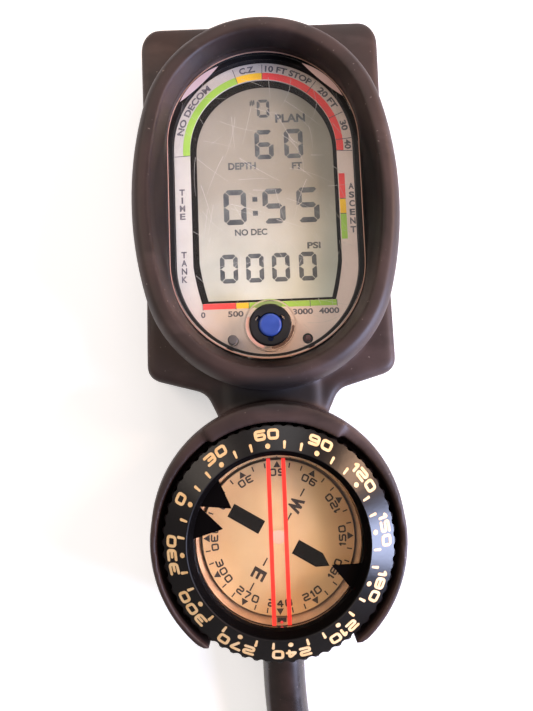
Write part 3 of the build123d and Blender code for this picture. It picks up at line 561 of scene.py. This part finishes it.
class Ink:
    """Marks in one ink, gathered in one mesh of thin closed solids."""

    def __init__(self, thickness=PRINT):
        self.mesh = bmesh.new()
        self.thickness = thickness

    def solid(self, points, faces, place, lift=0.0):
        """Thickens a flat patch of faces, whose points are (x, y), on the surface that place gives."""
        low = [self.mesh.verts.new(place(x, y, lift)) for x, y in points]
        high = [self.mesh.verts.new(place(x, y, lift + self.thickness)) for x, y in points]
        edges = {(a, b) for face in faces for a, b in zip(face, (*face[1:], face[0]))}
        for face in faces:
            self.mesh.faces.new([high[i] for i in face])
            self.mesh.faces.new([low[i] for i in reversed(face)])
        for a, b in edges:
            if (b, a) not in edges:
                self.mesh.faces.new([low[a], low[b], high[b], high[a]])

    def outline(self, points, place, lift=0.0):
        self.solid(points, [tuple(range(len(points)))], place, lift)

    def frame(self, outer, inner, place):
        """The band between two outlines that have the same number of points."""
        count = len(outer)
        faces = [(i, (i + 1) % count, count + (i + 1) % count, count + i) for i in range(count)]
        self.solid(outer + inner, faces, place)

    def ribbon(self, line, width, place, closed=False, round_ends=True, lift=0.0, end_width=None):
        """A stroke along a line, mitred at its corners, that may taper to another width."""
        count = len(line)
        left, right = [], []
        for index, point in enumerate(line):
            before = line[index - 1] if closed or index else None
            after = line[(index + 1) % count] if closed or index < count - 1 else None
            into = (point - before).normalized() if before is not None else (after - point).normalized()
            out = (after - point).normalized() if after is not None else into
            along = (into + out).normalized()
            share = index / max(count - 1, 1)
            here = width if end_width is None else width + (end_width - width) * share
            side = Vector((-along.y, along.x)) * (here / 2 / max(along.dot(out), 0.3))
            left.append(point + side)
            right.append(point - side)
        points = left + right
        last = count if closed else count - 1
        faces = [(count + i, count + (i + 1) % count, (i + 1) % count, i) for i in range(last)]
        if round_ends and not closed:
            for end, first, second in ((count - 1, right[-1], left[-1]), (0, left[0], right[0])):
                half = (first - second) / 2
                ahead = Vector((-half.y, half.x))
                arc = [line[end] + half * math.cos(math.pi * k / 6) + ahead * math.sin(math.pi * k / 6)
                       for k in range(1, 6)]
                corner_a = count + end if end else end
                corner_b = end if end else count + end
                faces.append((corner_a, *range(len(points), len(points) + 5), corner_b))
                points = points + arc
        self.solid([tuple(point) for point in points], faces, place, lift)

    def disc(self, radius, place, sides=28):
        angles = [math.tau * k / sides for k in range(sides)]
        self.outline([(radius * math.cos(a), radius * math.sin(a)) for a in angles], place)

    def bar(self, x0, x1, y0, y1, z):
        self.outline([(x0, y0), (x1, y0), (x1, y1), (x0, y1)], flat(0, 0, z))

    def arc(self, centre, inner, outer, start, end, z):
        """A band round a centre between two bearings."""
        steps = max(2, int(abs(end - start) / 3))
        middle, width = (inner + outer) / 2, outer - inner
        place = round_centre(centre, middle, start, level(z))
        reach = math.radians(end - start) * middle
        line = [Vector((reach * k / steps, 0)) for k in range(steps + 1)]
        self.ribbon(line, width, place, round_ends=False)

    def text(self, words, width, height, place, weight=0.02):
        """Plain built-in lettering, stretched to a width and a capital's height."""
        data = bpy.data.curves.new("lettering", "FONT")
        data.body = words
        data.offset = weight
        data.resolution_u = 4
        lettering = bpy.data.objects.new("lettering", data)
        mesh = bpy.data.meshes.new_from_object(lettering)
        spots = [vertex.co for vertex in mesh.vertices]
        low = Vector((min(s.x for s in spots), min(s.y for s in spots)))
        high = Vector((max(s.x for s in spots), max(s.y for s in spots)))
        middle, size = (low + high) / 2, high - low
        points = [((s.x - middle.x) * width / size.x, (s.y - middle.y) * height / size.y) for s in spots]
        self.solid(points, [tuple(face.vertices) for face in mesh.polygons], place)
        bpy.data.objects.remove(lettering)
        bpy.data.meshes.remove(mesh)
        bpy.data.curves.remove(data)

    def numeral(self, digits, width, height, stroke, gap, place):
        """Square-cut rounded numerals, centred on the place."""
        widths = [width * NARROW if digit == "1" else width for digit in digits]
        cursor = -(sum(widths) + gap * (len(digits) - 1)) / 2
        for digit, wide in zip(digits, widths):
            for number, (shape, closed) in enumerate(GLYPHS[digit]):
                line = [Vector((cursor + stroke / 2 + u * (wide - stroke), (v - 0.5) * (height - stroke)))
                        for u, v in shape]
                eased = rounded(line, stroke * 0.9, closed)
                self.ribbon(eased, stroke, place, closed, lift=number * STROKE_LIFT)
            cursor += wide + gap

    def make(self, name, ink, slot, body):
        bmesh.ops.recalc_face_normals(self.mesh, faces=self.mesh.faces)
        data = bpy.data.meshes.new(name)
        self.mesh.to_mesh(data)
        self.mesh.free()
        data.materials.append(ink)
        piece = bpy.data.objects.new(name, data)
        bpy.context.scene.collection.objects.link(piece)
        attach(piece, body)
        return piece


NARROW = 0.45
BOX = [(0, 0), (1, 0), (1, 1), (0, 1)]
GLYPHS = {
    "0": [(BOX, True)],
    "1": [([(0, 0.74), (1, 1), (1, 0)], False)],
    "2": [([(0, 1), (1, 1), (1, 0.5), (0, 0.5), (0, 0), (1, 0)], False)],
    "3": [([(0, 1), (1, 1), (1, 0), (0, 0)], False), ([(0.3, 0.5), (1, 0.5)], False)],
    "4": [([(0.75, 0), (0.75, 1), (0, 0.3), (1, 0.3)], False)],
    "5": [([(1, 1), (0, 1), (0, 0.55), (1, 0.55), (1, 0), (0, 0)], False)],
    "6": [([(1, 1), (0, 1), (0, 0), (1, 0), (1, 0.55), (0, 0.55)], False)],
    "7": [([(0, 1), (1, 1), (0.35, 0)], False)],
    "8": [(BOX, True), ([(0, 0.5), (1, 0.5)], False)],
    "9": [([(0, 0), (1, 0), (1, 1), (0, 1), (0, 0.45), (1, 0.45)], False)],
}


# ---- the computer's label ----------------------------------------------------------------------
ARCH = (0.0, 52.2)          # centre of the label's coloured arch
ARCH_INNER = 22.2
ARCH_OUTER = 24.3
ARCH_TEXT = 25.65
ARCH_EDGE = 26.9
RATE_BAR = (22.4, 24.2)     # the ascent-rate colours beside the display
TANK_BAR = (3.75, 5.45)     # the tank-pressure colours below it
LINE_WIDTH = 0.2
CAPITAL = 1.95              # height of the label's capitals
SCALE_NUMBER = 1.75         # height of the tank scale's numbers
BOLD = 0.035
ZONES = (-93, -18.4, 1.2, 93)               # bearings where the arch's colours change
STOPS = (38.8, 66.1, 84.4)                  # bearings of the lines between the stops
RATES = (23.65, 31.4, 36.0, 43.8)           # y where the ascent-rate colours change
TANK_ZONES = (-19.6, -9.84, -5.99, 20.05)   # x where the tank-pressure colours change
TANK_3000 = 12.09


def label_colours():
    green, yellow, red = Ink(), Ink(), Ink()
    for ink, start, end in zip((green, yellow, red), ZONES, ZONES[1:]):
        ink.arc(ARCH, ARCH_INNER, ARCH_OUTER, start, end, LABEL_TOP)
    for ink, low, high in zip((green, yellow, red), RATES, RATES[1:]):
        ink.bar(*RATE_BAR, low, high, LABEL_TOP)
    for ink, left, right in zip((red, yellow, green), TANK_ZONES, TANK_ZONES[1:]):
        ink.bar(left, right, *TANK_BAR, LABEL_TOP)
    green.make("label_green", INKS["green"], "dial_print", "console")
    yellow.make("label_yellow", INKS["yellow"], "dial_print", "console")
    red.make("label_red", INKS["red"], "dial_print", "console")


def label_lines():
    lines = Ink()
    top = level(LABEL_TOP + PRINT)
    reach = (ARCH_EDGE - ARCH_INNER) / 2
    for bearing in ZONES + STOPS:
        place = round_centre(ARCH, ARCH_INNER + reach, bearing, top)
        lines.ribbon([Vector((0, -reach)), Vector((0, reach))], LINE_WIDTH, place, round_ends=False)
    low, high = TANK_BAR
    for x in (*TANK_ZONES, TANK_3000):
        lines.bar(x - LINE_WIDTH / 2, x + LINE_WIDTH / 2, low - 0.2, high, LABEL_TOP + PRINT)
    for y in RATES[1:3]:
        lines.bar(*RATE_BAR, y - LINE_WIDTH / 2, y + LINE_WIDTH / 2, LABEL_TOP + PRINT)
    for words, width, bearing in (("NO DECOM", 18.0, -58), ("C.Z.", 5.0, -9), ("10 FT STOP", 15.0, 20),
                                  ("20 FT", 7.8, 52.5), ("30", 3.2, 75), ("40", 3.0, 88.5)):
        place = round_centre(ARCH, ARCH_TEXT, bearing, level(LABEL_TOP))
        lines.text(words, width, CAPITAL, place, BOLD)
    for word, x, first, last in (("ASCENT", 26.0, 39.75, 26.4), ("TIME", -24.9, 39.7, 32.25),
                                 ("TANK", -24.8, 20.5, 13.05)):
        for index, letter in enumerate(word):
            y = first + (last - first) * index / (len(word) - 1)
            width = 0.5 if letter == "I" else 1.65
            lines.text(letter, width, CAPITAL, flat(x, y, LABEL_TOP), BOLD)
    for words, width, x in (("0", 1.3, -19.6), ("500", 4.6, -10.0), ("3000", 6.0, 9.85), ("4000", 6.0, 17.6)):
        lines.text(words, width, SCALE_NUMBER, flat(x, 2.2, LABEL_TOP), BOLD)
    lines.make("label_lettering", INKS["grey"], "dial_print", "console")


# ---- the display -------------------------------------------------------------------------------
SEGMENTS = {"0": "abcdef", "5": "acdfg", "6": "acdefg"}
SEGMENT_GAP = 0.09
WINDOW = (-22.2, 22.2, 5.5, 74.3)
WINDOW_FOOT = 11.5
WINDOW_FOOT_LEAN = 2.35
DISPLAY_INK = DISPLAY_TOP + 0.01
COLON_DOTS = (37.0, 32.7)

# each: digit, middle x and y, width, height, stroke
DIGITS = [("0", 0.43, 65.4, 4.0, 5.9, 1.1)]
DIGITS += [(digit, x, 54.0, 5.9, 9.4, 1.6) for digit, x in (("6", 0.31), ("0", 9.28))]
DIGITS += [(digit, x, 34.7, 7.0, 11.0, 1.8) for digit, x in (("0", -9.17), ("5", 2.58), ("5", 12.84))]
DIGITS += [("0", x, 15.9, 5.5, 8.9, 1.55) for x in (-11.58, -3.82, 3.93, 11.99)]


def window_outline(left, right, low, high):
    """Arched head, straight sides and a foot that leans in, as (x, y) points."""
    middle, half = (left + right) / 2, (right - left) / 2
    shoulder, foot, bend = high - half, low + WINDOW_FOOT, low + WINDOW_FOOT / 2
    lean = WINDOW_FOOT_LEAN
    points = arc_through((right, shoulder), (middle, high), (left, shoulder), 40)
    points += arc_through((left, foot), (left + 0.4 * lean, bend), (left + lean, low), 8)
    points += arc_through((right - lean, low), (right - 0.4 * lean, bend), (right, foot), 8)
    return [tuple(point) for point in points]


def display_border():
    left, right, low, high = WINDOW
    # A black frame round the display, wider at the left and the top: partly the real frame, partly painted
    # shadow of the window's edge.
    border = Ink(0.025)
    outer = window_outline(left - 0.6, right + 0.6, low - 0.6, high + 0.6)
    inner = window_outline(left + 1.9, right - 1.1, low + 0.8, high - 2.2)
    border.frame(outer, inner, flat(0, 0, DISPLAY_INK))
    border.make("display_border", INKS["black"], "display_glass", "console")


def segment_shapes(width, height, stroke):
    """The seven segments of a digit, as convex outlines, with cut outer corners."""
    w, h, t, cut = width / 2, height / 2, stroke, stroke * 0.75
    right = w - t
    top = [(-w + cut / 2, h - cut / 2), (-right, h - t), (right, h - t), (w - cut / 2, h - cut / 2),
           (w - cut, h), (-w + cut, h)]
    side = [(w, h - cut), (w - cut / 2, h - cut / 2), (right, h - t), (right, t / 2), (w - t / 3, 0.0),
            (w, 0.0)]
    middle = [(-w + t / 2, 0.0), (-right, -t / 2), (right, -t / 2), (w - t / 2, 0.0), (right, t / 2),
              (-right, t / 2)]
    lower_side = [(x, -y) for x, y in side]
    return {"a": top, "b": side, "c": lower_side, "d": [(x, -y) for x, y in top],
            "e": [(-x, y) for x, y in lower_side], "f": [(-x, y) for x, y in side], "g": middle}


def display_digits():
    digits = Ink(0.02)
    for text, x, y, width, height, stroke in DIGITS:
        shapes = segment_shapes(width, height, stroke)
        for name in SEGMENTS[text]:
            points = [Vector(point) for point in shapes[name]]
            if sum(a.cross(b) for a, b in zip(points, points[1:] + points[:1])) < 0:
                points.reverse()
            outline = [tuple(point) for point in shrunk(points, SEGMENT_GAP)]
            digits.outline(outline, flat(x, y, DISPLAY_INK))
    for y in COLON_DOTS:
        digits.bar(-3.85, -2.35, y - 0.75, y + 0.75, DISPLAY_INK)
    for words, x, y, width, height in (("#", -2.9, 67.3, 1.7, 1.8), ("PLAN", 8.56, 62.1, 9.1, 2.7),
                                       ("DEPTH", -6.6, 47.5, 8.4, 2.2), ("FT", 10.05, 47.0, 3.1, 2.2),
                                       ("NO DEC", -4.6, 26.9, 9.7, 2.0), ("PSI", 14.07, 22.2, 4.0, 2.0)):
        digits.text(words, width, height, flat(x, y, DISPLAY_INK), BOLD)
    digits.make("display_segments", INKS["segment"], "display_glass", "console")


# ---- on the lens -------------------------------------------------------------------------------
SCRATCH_SEED = 5
SCRATCH_COUNT = 110
LENS_EDGE = 28.5            # half the width of the lens, at the middle of its bevel
LENS_RUN = (17.0, 53.0)     # where the lens's straight sides start and end
LENS_FLAT = 27.0            # half the width of the lens's flat
BOSS_CLEAR = 8.4            # scratches keep this far from the button's middle
CRESCENT_REACH = 28.0
CRESCENT_ENDS = ((24.4, 66.4), (12.6, 77.2))
CRESCENT_MIDDLE = (18.3, 71.3)


def crescents():
    """Painted reflections: pearly flashes at the two upper shoulders of the lens."""
    for name, side, ink in (("reflection_crescent_left", -1, "reflection_blue"), ("reflection_crescent_right", 1, "reflection_pink")):
        low, high, middle = (Vector((side * x, y)) for x, y in (*CRESCENT_ENDS, CRESCENT_MIDDLE))
        head = Vector((0, LENS_RUN[1]))
        outer_middle = head + (low.lerp(high, 0.5) - head).normalized() * CRESCENT_REACH
        outer = arc_through(low, outer_middle, high, 16)
        inner = arc_through(high, middle, low, 16)[1:-1]
        points = outer + inner
        if side < 0:
            points.reverse()
        flash = Ink()
        flash.outline([tuple(point) for point in points], flat(0, 0, LENS_TOP))
        flash.make(name, INKS[ink], "dial_print", "console")


def inside_lens(point):
    """Whether a point is on the flat of the lens and off the button's boss."""
    run = max(LENS_RUN[0] - point.y, 0.0, point.y - LENS_RUN[1])
    return math.hypot(point.x, run) < LENS_FLAT and (point - Vector((0, BUTTON.y))).length > BOSS_CLEAR


def lens_scratches():
    chance = random.Random(SCRATCH_SEED)
    scratches = Ink(0.01)
    for _ in range(SCRATCH_COUNT):
        point = Vector((chance.uniform(-24, 24), chance.uniform(-6, 76)))
        heading = chance.gauss(-1.0, 0.6)
        bend = chance.gauss(0, 0.035)
        line = []
        for _ in range(chance.randint(4, 15)):
            if inside_lens(point):
                line.append(point.copy())
            point += Vector((math.cos(heading), math.sin(heading)))
            heading += bend
        if len(line) > 3 and all((b - a).length < 1.5 for a, b in zip(line, line[1:])):
            width = chance.uniform(0.05, 0.13)
            scratches.ribbon(line, width, flat(0, 0, LENS_TOP), round_ends=False, end_width=width * 0.3)
    pale = half_seen("scratch", rgb(244, 240, 232), 0.5, 0.5)
    scratches.make("lens_scratches", pale, "clear_lens", "console")


def lens_edge():
    """The thin line of light that the lens's bevel catches all round."""
    low, high = LENS_RUN
    line = arc_through((LENS_EDGE, high), (0, high + LENS_EDGE), (-LENS_EDGE, high), 40)
    line += arc_through((-LENS_EDGE, low), (0, low - LENS_EDGE), (LENS_EDGE, low), 40)
    edge = Ink(0.05)
    edge.ribbon(line, 0.24, flat(0, 0, LENS_TOP - 0.3), closed=True)
    edge.make("lens_edge", half_seen("bevel_light", rgb(222, 176, 156), 0.75, 0.3), "clear_lens", "console")


BOSS_RING = 6.55            # radius of the clear ring between the button's collar and the boss's edge
BOSS_RING_WIDTH = 0.8
BOSS_GLINTS = (("boss_pink", 200, 290, rgb(240, 186, 166)), ("boss_green", 325, 390, rgb(150, 164, 104)),
               ("boss_brown", 95, 175, rgb(104, 74, 60)))


def boss_glints():
    """Colours of the label and the room, caught in the clear ring round the button."""
    for name, start, end, tint in BOSS_GLINTS:
        bearings = [math.radians(start + (end - start) * step / 20) for step in range(21)]
        line = [Vector((math.sin(bearing), math.cos(bearing))) * BOSS_RING for bearing in bearings]
        glint = Ink()
        glint.ribbon(line, BOSS_RING_WIDTH, flat(0, BUTTON.y, BOSS_TOP))
        glint.make(name, half_seen(name, tint, 0.65, 0.4), "clear_lens", "console")


# ---- the compass -------------------------------------------------------------------------------
CONE_FOOT = (31.0, 30.0)    # radius and height of the bezel's sloping face at its foot
CONE_HEAD = (24.4, 33.4)
BEZEL_NUMBERS = 28.6        # radii on the bezel
BEZEL_DOTS = 25.6
BEZEL_TICKS = 25.9
CARD_NUMBERS = 17.7         # radii on the card
CARD_TICKS = 19.8
CARD_LETTER = 3.8           # height of a letter, and how far its strokes stand from it
BOWL_FLOOR = 25.05


def cone_height(radius):
    slope = (CONE_HEAD[1] - CONE_FOOT[1]) / (CONE_FOOT[0] - CONE_HEAD[0])
    return CONE_FOOT[1] + (CONE_FOOT[0] - radius) * slope


def bezel_scale():
    """Numerals, dots and ticks on the bezel's cone, tops outwards."""
    marks = Ink(0.05)
    for value in range(0, 360, 30):
        bearing = BEZEL_ZERO + value
        marks.numeral(str(value), 3.2, 2.9, 0.78, 0.4,
                      round_centre(COMPASS, BEZEL_NUMBERS, bearing, cone_height))
        marks.disc(0.68, round_centre(COMPASS, BEZEL_DOTS, bearing, cone_height), 20)
        for step in (10, 20):
            place = round_centre(COMPASS, BEZEL_TICKS, bearing + step, cone_height)
            marks.ribbon([Vector((0, -0.75)), Vector((0, 0)), Vector((0, 0.75))], 0.6, place, end_width=0.75)
    marks.make("bezel_scale", INKS["cream"], "bezel_plastic", "bezel")


def card_scale():
    """Degree numbers with their tops to the centre, course marks, and the letters by the arrow."""
    marks = Ink(0.02)
    top = level(CARD_TOP)
    for value in range(0, 360, 30):
        bearing = CARD_NORTH + 180 + value
        number = round_centre(COMPASS, CARD_NUMBERS, bearing, top, inward=True)
        marks.numeral(str(value), 1.95, 2.1, 0.46, 0.42, number)
        apex = round_centre(COMPASS, CARD_TICKS, bearing, top)
        marks.outline([(-1.05, -0.75), (1.05, -0.75), (0, 1.0)], apex)
        for step in (10, 20):
            place = round_centre(COMPASS, CARD_TICKS, bearing + step, top)
            marks.ribbon([Vector((0, -0.7)), Vector((0, 0.7))], 0.36, place, round_ends=False)
    for side, letter, radius, width, weight in ((90, "E", 11.4, 3.0, 0.03), (-90, "W", 10.0, 4.2, 0.07)):
        bearing = CARD_NORTH + side
        x = COMPASS.x + radius * math.sin(math.radians(bearing))
        y = COMPASS.y + radius * math.cos(math.radians(bearing))
        marks.text(letter, width, CARD_LETTER, flat(x, y, CARD_TOP, -CARD_NORTH), weight)
        for stroke_radius in (radius - CARD_LETTER, radius + CARD_LETTER):
            place = round_centre(COMPASS, stroke_radius, bearing, top)
            marks.ribbon([Vector((0, -1.2)), Vector((0, 1.2))], 0.4, place, round_ends=False)
    marks.make("card_lettering", INKS["brown"], "card_print", "card")


def card_arrow():
    """Solid bar for south, an arrow for north, and a painted highlight on the pivot."""
    arrow = Ink(0.02)
    turned = flat(COMPASS.x, COMPASS.y, CARD_TOP, -CARD_NORTH)
    arrow.outline([(-2.1, 5.3), (2.1, 5.3), (2.1, 12.8), (0, 16.0), (-2.1, 12.8)], turned)
    arrow.outline([(-2.0, -15.1), (2.0, -15.1), (2.0, -5.3), (-2.0, -5.3)], turned)
    arrow.make("card_arrow", INKS["black"], "card_print", "card")
    # A pale half-seen disc on the pivot: a painted highlight.
    pivot = Ink(0.02)
    pivot.disc(1.9, turned)
    pivot.make("card_pivot_glint", INKS["pale"], "card_print", "card")


def lubber_mark():
    """Small window mark between the lubber lines, at the near edge of the capsule."""
    mark = Ink(0.05)
    window = [(-1.2, -22.3), (1.2, -22.3), (1.2, -21.1), (-1.2, -21.1)]
    mark.outline(window, flat(COMPASS.x, COMPASS.y, BOWL_FLOOR))
    mark.make("lubber_mark", INKS["brown"], "lubber_red", "console")
    dot = Ink(0.05)
    dot.disc(0.4, flat(COMPASS.x, COMPASS.y - 22.3, BOWL_FLOOR + 0.06))
    dot.make("lubber_dot", INKS["red"], "lubber_red", "console")


# ---- the boot ----------------------------------------------------------------------------------
BOOT_VOXEL = 0.7
BOOT_SMOOTHING = 5
EAR_START = 88.5            # beyond this the base plate's far edge is drawn out
EAR_STRETCH = 1.2


def moulded_boot():
    """The boot with its joins and edges eased, as they come from a rubber mould."""
    data = nodes["console_boot"].data.copy()
    boot = bpy.data.objects.new("moulded_boot", data)
    bpy.context.scene.collection.objects.link(boot)
    weld = boot.modifiers.new("weld", "WELD")
    weld.merge_threshold = 0.001 * MM
    remesh = boot.modifiers.new("remesh", "REMESH")
    remesh.mode = "VOXEL"
    remesh.voxel_size = BOOT_VOXEL * MM
    remesh.use_smooth_shade = True
    smooth = boot.modifiers.new("smooth", "SMOOTH")
    smooth.factor = 0.5
    smooth.iterations = BOOT_SMOOTHING
    shaped = bpy.data.meshes.new_from_object(boot.evaluated_get(bpy.context.evaluated_depsgraph_get()))
    boot.modifiers.clear()
    boot.data = shaped
    for vertex in shaped.vertices:
        beyond = vertex.co.y / MM - EAR_START
        if beyond > 0:
            vertex.co.y = (EAR_START + beyond * EAR_STRETCH) * MM
    shaped.materials.clear()
    shaped.materials.append(SLOT_MATERIALS["boot_rubber"])
    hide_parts("console_boot")
    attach(boot, "console")


# ---- floor and light ---------------------------------------------------------------------------
def make_floor():
    data = bpy.data.meshes.new("floor")
    sheet = bmesh.new()
    bmesh.ops.create_grid(sheet, x_segments=1, y_segments=1, size=3.0)
    sheet.to_mesh(data)
    sheet.free()
    data.materials.append(surface("floor", rgb(243, 243, 244), rgb(247, 247, 247), 0.8, blotch=4, grain=300,
                                  strength=0.02, Emission_Color=(1.0, 1.0, 1.0, 1.0), Emission_Strength=0.45))
    floor = bpy.data.objects.new("floor", data)
    floor.location.z = -0.1 * MM
    bpy.context.scene.collection.objects.link(floor)


def make_light(name, place, target, size, power, colour):
    data = bpy.data.lights.new(name, "AREA")
    data.shape = "DISK"
    data.size = size
    data.energy = power
    data.color = colour
    light = bpy.data.objects.new(name, data)
    light.location = place
    light.rotation_euler = (Vector(target) - Vector(place)).to_track_quat("-Z", "Y").to_euler()
    bpy.context.scene.collection.objects.link(light)


def make_lights():
    world = bpy.data.worlds.new("studio")
    bpy.context.scene.world = world
    world.use_nodes = True
    background = world.node_tree.nodes["Background"]
    background.inputs["Color"].default_value = (1.0, 0.93, 0.91, 1.0)
    background.inputs["Strength"].default_value = 0.34
    middle = (0.0, -0.01, 0.02)
    compass = (0.02, -0.06, 0.03)
    make_light("window_light", (0.47, -0.18, 0.23), compass, 0.24, 5.5, (0.60, 0.68, 1.0))
    make_light("lamp_light", (0.40, 0.15, 0.30), compass, 0.15, 1.7, (1.0, 0.62, 0.40))
    make_light("warm_light", (-0.5, 0.3, 0.6), middle, 0.5, 2.1, (1.0, 0.86, 0.74))
    make_light("far_light", (0.1, 0.75, 0.5), middle, 0.5, 1.9, (1.0, 0.96, 0.96))


make_camera()
make_hose(SLOT_MATERIALS["hose_rubber"])
dress_nodes()
moulded_boot()
label_colours()
label_lines()
display_border()
display_digits()
crescents()
lens_scratches()
lens_edge()
boss_glints()
bezel_scale()
card_scale()
card_arrow()
lubber_mark()
make_floor()
make_lights()
bpy.context.scene.view_settings.view_transform = "Standard"
